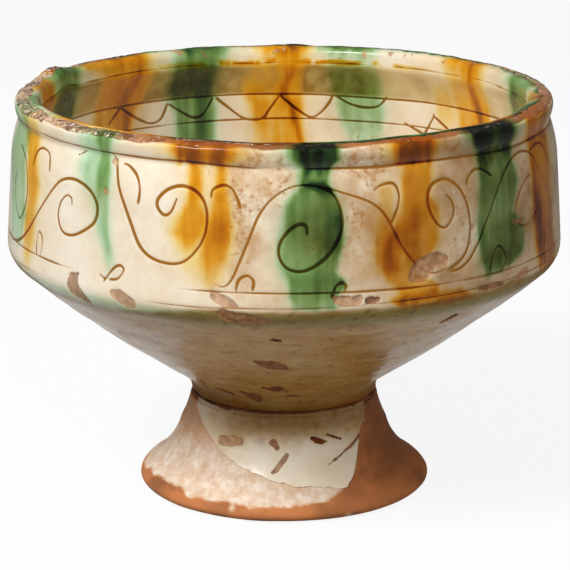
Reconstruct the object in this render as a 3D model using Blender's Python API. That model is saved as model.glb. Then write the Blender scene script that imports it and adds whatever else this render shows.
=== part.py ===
"""Footed, carinated bowl in red earthenware with a slip and lead-glaze coat.

The bowl and its hollow foot are thrown apart. A stub turned under the bowl sits in a
socket in the top of the foot, bedded in a layer of luting slip. The bowl then gets its
white slip and glaze as one coat inside and one outside, which leave the rubbed edge of
the lip and a strip above the seam bare, and a tongue of the same coat runs down the
front of the foot. Nothing on it moves.

Units are metres, +Z is up, and the origin is the middle of the ring it stands on.
"""
import math

import bmesh
import bpy

# Heights, stacked from the base up
FOOT_HEIGHT = 0.0236
BASIN_HEIGHT = 0.0371
WALL_HEIGHT = 0.0347
LIP_HEIGHT = 0.0055

# Bowl, outside
LIP_RADIUS = 0.0673
LIP_WIDTH = 0.0063
LIP_EDGE_DROP = 0.0019
UNDER_LIP_RADIUS = 0.0664
UPPER_WALL_RADIUS = 0.0685
UPPER_WALL_DROP = 0.0086
UPPER_WALL_RISE = 0.0003
CARINATION_RADIUS = 0.0700
CARINATION_ROUND = 0.0034
BASIN_RISE = 0.0009
NECK_RADIUS = 0.0236
NECK_FLARE = 0.0022
NECK_LENGTH = 0.0046

# Bowl, inside
WALL = 0.0055
INNER_CORNER_ROUND = 0.0045
FLOOR_RADIUS = 0.0210
FLOOR_DISH = 0.0020

# Foot
FOOT_RADIUS = 0.0350
FOOT_EDGE_HEIGHT = 0.0040
FOOT_EDGE_RADIUS = 0.0358
FOOT_EDGE_RISE = 0.00195
FOOT_TOP_RADIUS = 0.0240
FOOT_STEM_RADIUS = 0.0266
FOOT_STEM_DROP = 0.0076
FOOT_STEM_RISE = 0.0003
FOOT_FLARE_RISE = 0.0015
HOLLOW_RADIUS = 0.0285
HOLLOW_DEPTH = 0.0133
HOLLOW_RISE = 0.0045

# Joint between bowl and foot
STUB_RADIUS = 0.0160
STUB_LENGTH = 0.0040
LUTING = 0.0006
LUTING_SQUEEZE = 0.0002

# Slip and glaze coats
COAT = 0.0007
LIP_BARE = 0.0030
NECK_BARE = 0.0020

# Tongue of slip on the foot, as seen from the front
TONGUE_COAT = 0.0005
TONGUE_LEFT = 0.0222
TONGUE_RIGHT = 0.0206
TONGUE_TOP_DROP = 0.0012
TONGUE_TIP = 0.0040
TONGUE_TIP_DROP = 0.0154
TONGUE_TOE = 0.0155
TONGUE_TOE_DROP = 0.0185
TONGUE_SIDE_RISE = 0.0040

# Clearance between pieces that touch
GAP = 0.0003

# Facets
TURN_STEPS = 48
SHORT_STEPS = 2
LONG_STEPS = 3
SMOOTH_ANGLE = math.radians(40)

SHOULDER_HEIGHT = FOOT_HEIGHT + 2 * GAP + LUTING
CARINATION_HEIGHT = SHOULDER_HEIGHT + BASIN_HEIGHT
UNDER_LIP_HEIGHT = CARINATION_HEIGHT + WALL_HEIGHT
CREST_HEIGHT = UNDER_LIP_HEIGHT + LIP_HEIGHT


def bow(points, end, rise, segments):
    """Run the outline on to end. Its middle stands rise proud of the straight line."""
    start = points[-1]
    along = (end[0] - start[0], end[1] - start[1])
    length = math.hypot(*along)
    proud = (-along[1] / length, along[0] / length)
    for step in range(1, segments + 1):
        t = step / segments
        lift = 4 * rise * t * (1 - t)
        points.append((start[0] + along[0] * t + proud[0] * lift,
                       start[1] + along[1] * t + proud[1] * lift))


def bend(points, corner, end, segments):
    """Run the outline on to end, rounding the given corner."""
    start = points[-1]
    for step in range(1, segments + 1):
        t = step / segments
        points.append(tuple((1 - t) ** 2 * a + 2 * t * (1 - t) * b + t ** 2 * c
                            for a, b, c in zip(start, corner, end)))


def towards(start, end, distance):
    """The point that lies distance from start on the way to end."""
    length = math.dist(start, end)
    return tuple(a + (b - a) * distance / length for a, b in zip(start, end))


def sunk(points, depth):
    """The outline moved into the clay, which lies on its right, by depth."""
    normals = []
    for a, b in zip(points, points[1:]):
        length = math.dist(a, b)
        normals.append(((b[1] - a[1]) / length, (a[0] - b[0]) / length))
    moved = []
    for index, (radius, height) in enumerate(points):
        before = normals[max(index - 1, 0)]
        after = normals[min(index, len(normals) - 1)]
        middle = (before[0] + after[0], before[1] + after[1])
        reach = depth / (0.5 * (middle[0] ** 2 + middle[1] ** 2))
        on_axis = radius == 0
        moved.append((0.0 if on_axis else radius + middle[0] * reach,
                      height + (math.copysign(depth, middle[1]) if on_axis else middle[1] * reach)))
    return moved


def place_at(points, distance):
    """How many points along the outline lie the given distance from its start."""
    for index, (a, b) in enumerate(zip(points, points[1:])):
        length = math.dist(a, b)
        if distance <= length:
            return index + distance / length
        distance -= length
    return len(points) - 1


def stretch(points, first, last):
    """The part of the outline between two places, as place_at counts them."""
    def at(place):
        index = min(int(place), len(points) - 2)
        share = place - index
        return tuple(a + (b - a) * share for a, b in zip(points[index], points[index + 1]))
    inside = [points[i] for i in range(len(points)) if first + 1e-6 < i < last - 1e-6]
    return [at(first), *inside, at(last)]


def bowl_outline():
    """The finished bowl, from the middle of its floor, over the lip, to the shoulder.

    Returns the outline and the distance along it at which the lip's crest lies.
    """
    crest_radius = LIP_RADIUS - LIP_WIDTH / 2
    inner_lip = LIP_RADIUS - LIP_WIDTH
    neck_top = (NECK_RADIUS + NECK_FLARE, SHOULDER_HEIGHT + NECK_LENGTH)
    carination = (CARINATION_RADIUS, CARINATION_HEIGHT)
    basin_top = towards(carination, neck_top, CARINATION_ROUND)
    wall_foot = (CARINATION_RADIUS, CARINATION_HEIGHT + CARINATION_ROUND)
    upper_wall = (UPPER_WALL_RADIUS, UNDER_LIP_HEIGHT - UPPER_WALL_DROP)

    # The inside runs parallel to the outside, one wall away
    basin_length = math.dist(carination, neck_top)
    lift = WALL * (carination[0] - neck_top[0]) / basin_length
    shift = WALL * (carination[1] - neck_top[1]) / basin_length
    slope = (carination[1] - neck_top[1]) / (carination[0] - neck_top[0])
    corner_radius = CARINATION_RADIUS - WALL
    corner = (corner_radius, carination[1] + lift + (corner_radius - carination[0] + shift) * slope)
    floor_edge = (FLOOR_RADIUS, corner[1] - (corner[0] - FLOOR_RADIUS) * slope)
    inner_basin_top = towards(corner, floor_edge, INNER_CORNER_ROUND)
    inner_wall_foot = (corner[0], corner[1] + INNER_CORNER_ROUND)

    points = [(0.0, floor_edge[1] - FLOOR_DISH)]
    bow(points, floor_edge, -FLOOR_DISH / 4, LONG_STEPS)
    bow(points, inner_basin_top, -BASIN_RISE, LONG_STEPS)
    bend(points, corner, inner_wall_foot, LONG_STEPS)
    bow(points, (UPPER_WALL_RADIUS - WALL, upper_wall[1]), 0.0, SHORT_STEPS)
    bow(points, (UNDER_LIP_RADIUS - WALL, UNDER_LIP_HEIGHT), -UPPER_WALL_RISE, SHORT_STEPS)
    bow(points, (inner_lip, CREST_HEIGHT - LIP_EDGE_DROP), 0.0, 1)
    bend(points, (inner_lip, CREST_HEIGHT), (crest_radius, CREST_HEIGHT), LONG_STEPS)
    crest = sum(math.dist(a, b) for a, b in zip(points, points[1:]))
    lip_edge = (LIP_RADIUS, CREST_HEIGHT - LIP_EDGE_DROP)
    bend(points, (LIP_RADIUS, CREST_HEIGHT), lip_edge, LONG_STEPS)
    bend(points, (LIP_RADIUS, CREST_HEIGHT - 2 * LIP_EDGE_DROP),
         (UNDER_LIP_RADIUS, UNDER_LIP_HEIGHT), SHORT_STEPS)
    bow(points, upper_wall, UPPER_WALL_RISE, SHORT_STEPS)
    bow(points, wall_foot, 0.0, SHORT_STEPS)
    bend(points, carination, basin_top, LONG_STEPS)
    bow(points, neck_top, BASIN_RISE, LONG_STEPS)
    bend(points, (NECK_RADIUS, SHOULDER_HEIGHT + NECK_LENGTH / 2),
         (NECK_RADIUS, SHOULDER_HEIGHT), SHORT_STEPS)
    return points, crest


def foot_flank():
    """The outside of the foot, from its top edge down to the ring it stands on."""
    points = [(FOOT_TOP_RADIUS, FOOT_HEIGHT)]
    bow(points, (FOOT_STEM_RADIUS, FOOT_HEIGHT - FOOT_STEM_DROP), -FOOT_STEM_RISE, SHORT_STEPS)
    bow(points, (FOOT_EDGE_RADIUS, FOOT_EDGE_HEIGHT), -FOOT_FLARE_RISE, LONG_STEPS + 1)
    bow(points, (FOOT_RADIUS, 0.0), FOOT_EDGE_RISE, LONG_STEPS + 1)
    return points


def clay(name, colour, roughness):
    """A plain Principled material for one piece."""
    material = bpy.data.materials.new(name)
    material.use_nodes = True
    shader = material.node_tree.nodes["Principled BSDF"]
    shader.inputs["Base Color"].default_value = (*colour, 1.0)
    shader.inputs["Roughness"].default_value = roughness
    shader.inputs["Metallic"].default_value = 0.0
    return material


def add_piece(name, shape, material):
    """Put a bmesh into the scene as one smooth-shaded object."""
    mesh = bpy.data.meshes.new(name)
    shape.to_mesh(mesh)
    shape.free()
    mesh.shade_smooth()
    mesh.set_sharp_from_angle(angle=SMOOTH_ANGLE)
    piece = bpy.data.objects.new(name, mesh)
    bpy.context.scene.collection.objects.link(piece)
    if material:
        mesh.materials.append(material)
    return piece


def turn(outline, closed):
    """Spin an outline of (radius, height) points about Z into a closed body."""
    shape = bmesh.new()
    corners = [shape.verts.new((radius, 0.0, height)) for radius, height in outline]
    pairs = list(zip(corners, corners[1:]))
    if closed:
        pairs.append((corners[-1], corners[0]))
    edges = [shape.edges.new(pair) for pair in pairs]
    bmesh.ops.spin(shape, geom=corners + edges, cent=(0, 0, 0), axis=(0, 0, 1),
                   angle=2 * math.pi, steps=TURN_STEPS, use_merge=True)
    bmesh.ops.remove_doubles(shape, verts=shape.verts, dist=1e-6)
    bmesh.ops.recalc_face_normals(shape, faces=shape.faces)
    return shape


def make_bowl_and_coats():
    """The clay bowl with its stub, and the coats that lie on it."""
    finished, crest = bowl_outline()
    whole = sum(math.dist(a, b) for a, b in zip(finished, finished[1:]))
    coat_back = sunk(finished, COAT)
    under_coat = sunk(finished, COAT + GAP)

    inner_end = place_at(finished, crest)
    bare_start = place_at(finished, crest + GAP)
    bare_end = place_at(finished, crest + LIP_BARE - GAP)
    outer_start = place_at(finished, crest + LIP_BARE)
    outer_end = place_at(finished, whole - NECK_BARE)
    neck_start = place_at(finished, whole - NECK_BARE + GAP)
    last = len(finished) - 1

    stub_end = SHOULDER_HEIGHT - STUB_LENGTH
    body = (stretch(under_coat, 0, bare_start) + stretch(finished, bare_start, bare_end)
            + stretch(under_coat, bare_end, neck_start) + stretch(finished, neck_start, last))
    body += [(STUB_RADIUS, SHOULDER_HEIGHT), (STUB_RADIUS, stub_end), (0.0, stub_end)]
    add_piece("bowl_body", turn(body, False), clay("red_clay", (0.46, 0.20, 0.09), 0.80))

    inner = stretch(finished, 0, inner_end) + stretch(coat_back, 0, inner_end)[::-1]
    add_piece("inner_glaze", turn(inner, False), clay("inner_coat", (0.78, 0.68, 0.50), 0.22))

    outer = (stretch(finished, outer_start, outer_end)
             + stretch(coat_back, outer_start, outer_end)[::-1])
    add_piece("outer_glaze", turn(outer, True), clay("outer_coat", (0.76, 0.66, 0.48), 0.22))


def make_foot():
    """The hollow foot with the socket for the stub in its top."""
    socket_radius = STUB_RADIUS + 2 * GAP + LUTING
    socket_floor = FOOT_HEIGHT - STUB_LENGTH
    outline = [(0.0, socket_floor), (socket_radius, socket_floor), (socket_radius, FOOT_HEIGHT)]
    outline += foot_flank()
    outline.append((HOLLOW_RADIUS, 0.0))
    bow(outline, (0.0, HOLLOW_DEPTH), -HOLLOW_RISE, 2 * LONG_STEPS)
    add_piece("pedestal_foot", turn(outline, False), clay("foot_clay", (0.50, 0.24, 0.11), 0.85))


def make_luting():
    """The slip that beds the stub in its socket and shows as the seam."""
    floor = FOOT_HEIGHT - STUB_LENGTH + GAP
    rim = FOOT_HEIGHT + GAP
    sleeve = STUB_RADIUS + GAP
    edge = NECK_RADIUS + LUTING_SQUEEZE
    outline = [(0.0, floor + LUTING), (sleeve, floor + LUTING), (sleeve, rim + LUTING),
               (edge, rim + LUTING), (edge, rim), (sleeve + LUTING, rim),
               (sleeve + LUTING, floor), (0.0, floor)]
    add_piece("luting_seam", turn(outline, False), clay("luting_slip", (0.30, 0.13, 0.07), 0.85))


def make_tongue():
    """The tongue of slip and glaze, cut from a skin round the foot."""
    flank = foot_flank()
    skin_start = place_at(flank, TONGUE_TOP_DROP)
    skin_end = 2 * SHORT_STEPS + LONG_STEPS - 1
    back = stretch(sunk(flank, -GAP), skin_start, skin_end)
    face = stretch(sunk(flank, -GAP - TONGUE_COAT), skin_start, skin_end)
    tongue = add_piece("foot_slip", turn(face + back[::-1], True),
                       clay("foot_coat", (0.74, 0.66, 0.52), 0.30))

    # The outline is drawn from the front and cuts forwards only
    outline = [(-TONGUE_LEFT, FOOT_HEIGHT)]
    bow(outline, (TONGUE_TIP, FOOT_HEIGHT - TONGUE_TIP_DROP), -TONGUE_SIDE_RISE, 2 * LONG_STEPS)
    outline.append((TONGUE_TOE, FOOT_HEIGHT - TONGUE_TOE_DROP))
    outline.append((TONGUE_RIGHT, FOOT_HEIGHT))
    cutter_shape = bmesh.new()
    face = cutter_shape.faces.new([cutter_shape.verts.new((x, 0.0, z)) for x, z in outline])
    grown = bmesh.ops.extrude_face_region(cutter_shape, geom=[face])["geom"]
    front = [item for item in grown if isinstance(item, bmesh.types.BMVert)]
    bmesh.ops.translate(cutter_shape, verts=front, vec=(0, -2 * FOOT_EDGE_RADIUS, 0))
    bmesh.ops.recalc_face_normals(cutter_shape, faces=cutter_shape.faces)
    cutter = add_piece("tongue_outline", cutter_shape, None)
    cutter.hide_render = True
    cutter.display_type = "WIRE"

    cut = tongue.modifiers.new("tongue_cut", "BOOLEAN")
    cut.operation = "INTERSECT"
    cut.solver = "EXACT"
    cut.object = cutter


def main():
    for leftover in list(bpy.data.objects):
        bpy.data.objects.remove(leftover)
    make_bowl_and_coats()
    make_foot()
    make_luting()
    make_tongue()


main()
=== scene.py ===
"""Looks of a footed sgraffito bowl: red clay, incised white slip, splashed lead glaze, wear."""
import itertools
import math

import bmesh
import bpy
import numpy as np
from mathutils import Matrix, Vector, kdtree


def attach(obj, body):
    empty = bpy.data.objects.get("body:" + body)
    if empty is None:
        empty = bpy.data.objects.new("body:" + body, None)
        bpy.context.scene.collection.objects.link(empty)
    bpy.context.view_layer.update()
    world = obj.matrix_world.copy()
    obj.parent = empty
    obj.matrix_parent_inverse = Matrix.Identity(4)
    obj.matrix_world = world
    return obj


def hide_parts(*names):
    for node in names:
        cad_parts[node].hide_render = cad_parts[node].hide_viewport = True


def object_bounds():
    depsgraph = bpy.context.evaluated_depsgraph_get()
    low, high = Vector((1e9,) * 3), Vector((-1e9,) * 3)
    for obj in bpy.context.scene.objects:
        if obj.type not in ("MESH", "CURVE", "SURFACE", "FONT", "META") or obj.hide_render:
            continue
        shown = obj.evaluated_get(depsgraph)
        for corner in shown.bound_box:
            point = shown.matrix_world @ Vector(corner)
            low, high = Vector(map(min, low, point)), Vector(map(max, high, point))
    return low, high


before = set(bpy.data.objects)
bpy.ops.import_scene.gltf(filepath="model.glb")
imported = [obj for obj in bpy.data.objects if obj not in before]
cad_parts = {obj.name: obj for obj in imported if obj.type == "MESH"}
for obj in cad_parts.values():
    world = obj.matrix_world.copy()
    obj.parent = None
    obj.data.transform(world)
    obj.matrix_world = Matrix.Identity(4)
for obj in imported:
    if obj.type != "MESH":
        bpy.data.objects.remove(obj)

bl_info = {
    "name": "Footed sgraffito bowl",
    "version": (1, 0, 0),
    "blender": (4, 5, 0),
    "location": "View3D > Sidebar > Bowl",
    "description": "Dresses the packed bowl with slip, glaze, incised scrolls and wear",
    "category": "Object",
}

CAD_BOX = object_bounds()
MM = 0.001

# Millimetres round the wall are counted at this radius, from the front, positive to the right
WALL_RADIUS = 69.0
HALF_TURN = math.pi * WALL_RADIUS


def linear(code):
    """Linear red, green and blue of an sRGB hex code."""
    parts = [int(code[i:i + 2], 16) / 255 for i in (1, 3, 5)]
    return tuple(p / 12.92 if p <= 0.04045 else ((p + 0.055) / 1.055) ** 2.4 for p in parts)


def size(name, words, default):
    """A size in millimetres that a user may change."""
    return bpy.props.FloatProperty(name=name, description=words + ", in millimetres", default=default)


def colour(name, words, code):
    """A colour that a user may change."""
    return bpy.props.FloatVectorProperty(name=name, description=words, subtype="COLOR",
                                         size=3, min=0, max=1, default=linear(code))


class BowlSizes(bpy.types.PropertyGroup):
    """Sizes of the bowl and its foot, in millimetres."""
    crest_height: size("Crest height", "Base to the crest of the lip", CAD_BOX[1][2] / MM)
    waist_radius: size("Waist radius", "Radius at the sharp turn", CAD_BOX[1][0] / MM)
    lip_radius: size("Lip radius", "Outer edge of the lip", 67.3)
    lip_width: size("Lip width", "Width of the rolled lip", 6.3)
    wall: size("Wall", "Thickness of the wall with its coats", 5.5)
    coat: size("Coat", "Slip and glaze together", 0.7)
    lip_bare: size("Bare lip", "Width of the rubbed band on the lip", 3.0)
    scratch_depth: size("Scratch depth", "How deep the scrolls are cut", 0.15)
    chip_depth: size("Chip depth", "How deep the coat is chipped", 0.35)


class BowlColours(bpy.types.PropertyGroup):
    """Colours of slip, glaze and clay."""
    slip: colour("Slip", "White slip under clear glaze", "#F2E8D6")
    slip_warm: colour("Warm slip", "Slip where the glaze is thicker", "#E8D6B8")
    scratch: colour("Scratch", "Clay at the bottom of the scrolls", "#9A661F")
    underside: colour("Underside", "Thin, stained slip under the waist", "#B68C48")
    clay: colour("Clay", "Fired red clay", "#BD7541")
    clay_dark: colour("Dark clay", "Clay where it was burnt darker", "#8A5430")
    crust: colour("Lime crust", "White crust on the foot", "#DEC5AC")
    seam: colour("Seam", "Slip that beds the bowl in the foot", "#5E3421")
    floor: colour("Floor", "Floor under the bowl", "#F4F3F1")


def sizes():
    return bpy.context.scene.bowl_sizes


def colours():
    """The colours by name, as plain tuples."""
    group = bpy.context.scene.bowl_colours
    return {key: tuple(getattr(group, key)) for key in group.__annotations__}


# Outlines, as lists of (radius, height) in millimetres

def bow(points, end, rise, segments=24):
    """Run the outline on to end. Its middle stands rise proud of the straight line."""
    start = points[-1]
    along = (end[0] - start[0], end[1] - start[1])
    length = math.hypot(*along)
    proud = (-along[1] / length, along[0] / length)
    for step in range(1, segments + 1):
        t = step / segments
        lift = 4 * rise * t * (1 - t)
        points.append((start[0] + along[0] * t + proud[0] * lift,
                       start[1] + along[1] * t + proud[1] * lift))


def bend(points, corner, end, segments=16):
    """Run the outline on to end, rounding the given corner."""
    start = points[-1]
    for step in range(1, segments + 1):
        t = step / segments
        points.append(tuple((1 - t) ** 2 * a + 2 * t * (1 - t) * b + t ** 2 * c
                            for a, b, c in zip(start, corner, end)))


class Outline:
    """A smooth outline that can be read at any distance along it."""

    def __init__(self, points):
        self.points = np.array(points)
        steps = np.hypot(*np.diff(self.points, axis=0).T)
        self.reach = np.concatenate([[0.0], np.cumsum(steps)])
        self.length = self.reach[-1]

    def at(self, along):
        """Radius and height at distances along the outline."""
        return tuple(np.interp(along, self.reach, self.points[:, i]) for i in (0, 1))

    def normal(self, along):
        """The direction out of the clay, which lies on the right."""
        (r0, z0), (r1, z1) = self.at(along - 0.6), self.at(along + 0.6)
        length = np.hypot(r1 - r0, z1 - z0)
        return -(z1 - z0) / length, (r1 - r0) / length

    def near(self, radius, height):
        """Distance along the outline of the point nearest to the given one."""
        return self.reach[np.argmin(np.hypot(self.points[:, 0] - radius,
                                             self.points[:, 1] - height))]


class Stretch:
    """The surface that a stretch of an outline sweeps round Z, to be drawn on."""

    def __init__(self, outline, first, last):
        radius, height = outline.at(np.linspace(first, last, 900))
        order = np.argsort(height)
        self.radius = radius[order]
        self.height = height[order]

    def at(self, angle, height, lift=0.0):
        """Points at angles and heights, lift millimetres further out than the surface."""
        return around(angle, np.interp(height, self.height, self.radius) + lift, height)


FOOT_HEIGHT = 23.6
SHOULDER_HEIGHT = 24.8
NECK_RADIUS = 23.6
# The stub under the bowl and the socket of the foot that it sits in
STUB_RADIUS = 16.0
STUB_DEPTH = 4.0
SOCKET_RADIUS = 17.2
# Turns of the outlines, as (radius, height)
BASIN_EDGE = (60.9, 62.0)
FOOT_TOP = (23.4, FOOT_HEIGHT)
FLANK_TOP = (24.1, 22.9)
FOOT_EDGE = (35.0, 0.0)


def bowl_outline():
    """The finished bowl from the middle of its floor over the lip to the shoulder."""
    s = sizes()
    crest = s.crest_height
    waist = s.waist_radius
    neck_top = (25.8, 29.4)
    turn = (waist, 61.9)
    under_lip = crest - 5.5
    upper_wall = under_lip - 8.6
    inner_lip = s.lip_radius - s.lip_width
    slope = (turn[1] - neck_top[1]) / (turn[0] - neck_top[0])
    points = [(0.0, 30.7)]
    corner = (waist - s.wall, 64.7)
    floor_edge = (21.0, corner[1] - (corner[0] - 21.0) * slope)
    bow(points, floor_edge, -0.5)
    bow(points, BASIN_EDGE, -0.9)
    bend(points, corner, (corner[0], 69.2))
    bow(points, (68.5 - s.wall, upper_wall), 0.0)
    bow(points, (66.4 - s.wall, under_lip), -0.3)
    bow(points, (inner_lip, crest - 1.9), 0.0)
    bend(points, (inner_lip, crest), (s.lip_radius - s.lip_width / 2, crest))
    bend(points, (s.lip_radius, crest), (s.lip_radius, crest - 1.9))
    bend(points, (s.lip_radius, crest - 3.8), (66.4, under_lip))
    bow(points, (68.5, upper_wall), 0.3)
    bow(points, (waist, 65.3), 0.0)
    bend(points, turn, (67.26, 59.9))
    bow(points, neck_top, 0.9)
    bend(points, (NECK_RADIUS, 27.1), (NECK_RADIUS, SHOULDER_HEIGHT))
    return Outline(points)


def lip_places(outline):
    """Distances along the bowl's outline at the crest and at the end of the bare lip."""
    s = sizes()
    crest = outline.near(s.lip_radius - s.lip_width / 2, s.crest_height)
    return crest, crest + s.lip_bare


def foot_outline():
    """The foot from the edge of its socket down its outside to the top of its hollow."""
    points = [(SOCKET_RADIUS, FOOT_HEIGHT), FOOT_TOP]
    bend(points, (24.0, FOOT_HEIGHT), FLANK_TOP, 6)
    bow(points, (26.6, 16.0), -0.28)
    bow(points, (35.8, 4.0), -1.5)
    bow(points, FOOT_EDGE, 1.95)
    bow(points, (28.5, 0.0), 0.0, 6)
    bow(points, (0.0, 13.3), -4.5)
    return Outline(points)


# Numbers at many points at once

def smooth_step(low, high, value):
    t = np.clip((value - low) / (high - low), 0.0, 1.0)
    return t * t * (3 - 2 * t)


def grain(points, pitch, octaves=3, seed=0):
    """Smooth random unevenness of about -1 to 1, with features of pitch millimetres."""
    table = np.random.default_rng(seed).uniform(-1, 1, (32, 32, 32))
    total = np.zeros(len(points))
    for octave in range(octaves):
        cell = points * 2.1 ** octave / pitch
        low = np.floor(cell).astype(int)
        t = cell - low
        t = t * t * (3 - 2 * t)
        for corner in itertools.product((0, 1), repeat=3):
            share = np.prod(np.where(corner, t, 1 - t), axis=1)
            total += share * table[tuple(((low + corner) % 32).T)] / 1.8 ** octave
    return total


def angle_of(points):
    """Angle of points round Z, from the front and positive to the right, in radians."""
    return np.arctan2(points[:, 0], -points[:, 1])


def around(angle, radius, height):
    """Points at angles round Z."""
    sides = np.broadcast_arrays(radius * np.sin(angle), -radius * np.cos(angle), height)
    return np.stack(sides, axis=1)


def wrapped(arc):
    """Millimetres round the wall brought to within half a turn of the front."""
    return (arc + HALF_TURN) % (2 * HALF_TURN) - HALF_TURN


# Where a dark lump stands on the lip, in degrees from the front
LIP_LUMP = -112


def lip_wave(angle):
    """How far the hand-made lip rises or dips round the rim, in millimetres."""
    ring = around(angle, 20.0, 0.0)
    degrees = np.degrees(angle)
    lump = 1.3 * np.exp(-(degrees - LIP_LUMP) ** 2 / 14)
    hump = 0.5 * np.exp(-(degrees % 360 - 179) ** 2 / 20)
    return 0.22 * grain(ring, 9.0, 3, 41) + lump + hump


def rough_lip(angle):
    """Where the lip is rough and crumbling, from 0 to 1."""
    degrees = np.degrees(angle)
    crumb = smooth_step(-15, -55, degrees) * smooth_step(-170, -120, degrees)
    return np.clip(crumb + 0.7 * np.exp(-(degrees - 110) ** 2 / 600), 0, 1)


# Meshes

# Added to the stations of hidden points, such as those on the back of a coat
BACK_MARK = 10000.0
# How near to a mark the mesh is made finer, in millimetres
FINE_REACH = 0.55


def spin_outline(stations, radius, height, steps):
    """Spin outline stations about Z. Each point keeps its station."""
    shape = bmesh.new()
    layer = shape.verts.layers.float.new("station")
    corners = []
    for station, r, z in zip(stations, radius, height):
        corner = shape.verts.new((r * MM, 0.0, z * MM))
        corner[layer] = station
        corners.append(corner)
    pairs = list(zip(corners, corners[1:]))
    if radius[0] > 0 or radius[-1] > 0:
        pairs.append((corners[-1], corners[0]))
    edges = [shape.edges.new(pair) for pair in pairs]
    bmesh.ops.spin(shape, geom=corners + edges, cent=(0, 0, 0), axis=(0, 0, 1),
                   angle=2 * math.pi, steps=steps, use_merge=True)
    bmesh.ops.remove_doubles(shape, verts=shape.verts, dist=1e-7)
    bmesh.ops.recalc_face_normals(shape, faces=shape.faces)
    return shape


def coat_shape(outline, stations, back_stations, depth, steps):
    """A coat that lies on an outline: its face on it, its back depth below it."""
    face_r, face_z = outline.at(stations)
    back_r, back_z = outline.at(back_stations)
    out_r, out_z = outline.normal(back_stations)
    back_r = np.where(back_r < 1e-6, 0.0, back_r - out_r * depth)
    radius = np.concatenate([face_r, back_r[::-1]])
    height = np.concatenate([face_z, (back_z - out_z * depth)[::-1]])
    marks = np.concatenate([stations, back_stations[::-1] + BACK_MARK])
    return spin_outline(marks, radius, height, steps)


def spaced(stops, gaps):
    """Stations between stops, each stretch with its own gap."""
    parts = [np.linspace(a, b, max(2, round((b - a) / gap) + 1))[:-1]
             for a, b, gap in zip(stops, stops[1:], gaps)]
    return np.concatenate([*parts, [stops[-1]]])


def refine(shape, groups):
    """Halve the edges of the faces that are close to any group of marks."""
    layer = shape.verts.layers.float["station"]
    points = np.array([v.co for v in shape.verts]) / MM
    station = np.array([v[layer] for v in shape.verts])
    close = np.zeros(len(points), dtype=bool)
    for marks in groups:
        close |= marks.nearest(points)[0] < FINE_REACH
    close &= station < BACK_MARK / 2
    shape.verts.index_update()
    faces = [face for face in shape.faces if any(close[v.index] for v in face.verts)]
    edges = dict.fromkeys(edge for face in faces for edge in face.edges)
    bmesh.ops.subdivide_edges(shape, edges=list(edges), cuts=1, use_grid_fill=True)


def mesh_points(mesh):
    """All vertex positions of a mesh, in millimetres."""
    flat = np.empty(len(mesh.vertices) * 3)
    mesh.vertices.foreach_get("co", flat)
    return flat.reshape(-1, 3) / MM


def set_points(mesh, points):
    mesh.vertices.foreach_set("co", (points * MM).ravel())
    mesh.update()


def station_of(mesh):
    """Each vertex's distance along its outline."""
    values = np.empty(len(mesh.vertices))
    mesh.attributes["station"].data.foreach_get("value", values)
    return values


def coat_layout(mesh):
    """Angle and distance along the outline of each vertex, and whether it is on the face."""
    station = station_of(mesh)
    on_face = station < BACK_MARK / 2
    return angle_of(mesh_points(mesh)), np.where(on_face, station, station - BACK_MARK), on_face


def store(mesh, **layers):
    """Keep numbers for each vertex, for the material to read."""
    for name, values in layers.items():
        layer = mesh.attributes.new(name, "FLOAT", "POINT")
        numbers = np.broadcast_to(values, len(mesh.vertices)).astype(np.float32)
        layer.data.foreach_set("value", numbers)


def add_piece(name, shape, material):
    """Put a bmesh into the scene as one smooth-shaded object at the origin."""
    mesh = bpy.data.meshes.new(name)
    shape.to_mesh(mesh)
    shape.free()
    mesh.shade_smooth()
    piece = bpy.data.objects.new(name, mesh)
    bpy.context.scene.collection.objects.link(piece)
    mesh.materials.append(material)
    return piece


def hand_over(piece, node):
    """Let a finished piece stand for its CAD node and move with the body."""
    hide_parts(node)
    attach(piece, "root")


# Scratched lines and chips

# Distance that stands for no mark near, in millimetres
FAR = 9.0


class Marks:
    """Strokes on a surface: rows of points in space with half widths, and a tone for each stroke."""

    def __init__(self, strokes):
        points = np.concatenate([path for path, _, _ in strokes])
        self.half = np.concatenate([half for _, half, _ in strokes])
        self.tone = np.concatenate([np.full(len(half), tone) for _, half, tone in strokes])
        self.tree = kdtree.KDTree(len(points))
        for index, point in enumerate(points):
            self.tree.insert(point, index)
        self.tree.balance()

    def nearest(self, points):
        """Distance from each point to the nearest edge of a mark, negative inside it, and its tone."""
        found = [self.tree.find(point) for point in points]
        index = np.array([item[1] for item in found])
        gap = np.array([item[2] for item in found])
        return np.minimum(gap - self.half[index], FAR), self.tone[index]


def smooth_path(points, pitch=0.15):
    """Points every pitch along a curve that runs smoothly through the given rows of numbers."""
    knots = np.array([points[0], *points, points[-1]], dtype=float)
    path = []
    for a, b, c, d in zip(knots, knots[1:], knots[2:], knots[3:]):
        count = max(2, int(np.hypot(*(c - b)[:2]) / pitch))
        for t in np.arange(count) / count:
            path.append(0.5 * (2 * b + (c - a) * t + (2 * a - 5 * b + 4 * c - d) * t * t
                               + (3 * b - a - 3 * c + d) * t ** 3))
    path.append(knots[-1])
    return np.array(path)


# Share of a scratch's width that is cut through to the clay
CUT_THROUGH = 0.8


def pressed(count, width):
    """Half widths along a stroke: the point bites at once and lifts off at the end."""
    t = np.linspace(0, 1, count)
    pressure = smooth_step(-0.03, 0.06, t) * (0.75 + 0.25 * smooth_step(1.0, 0.9, t))
    pressure *= 1 + 0.18 * np.sin(11 * t + 40 * width + 0.1 * count)
    return 0.5 * width * CUT_THROUGH * pressure


def groove(scratch):
    """How far a scratch lowers the surface, in millimetres."""
    return -sizes().scratch_depth * smooth_step(0.15, -0.3, scratch)


# Scrolls on the wall: (millimetres from the front, height) along each, and the width of the cut

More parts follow.
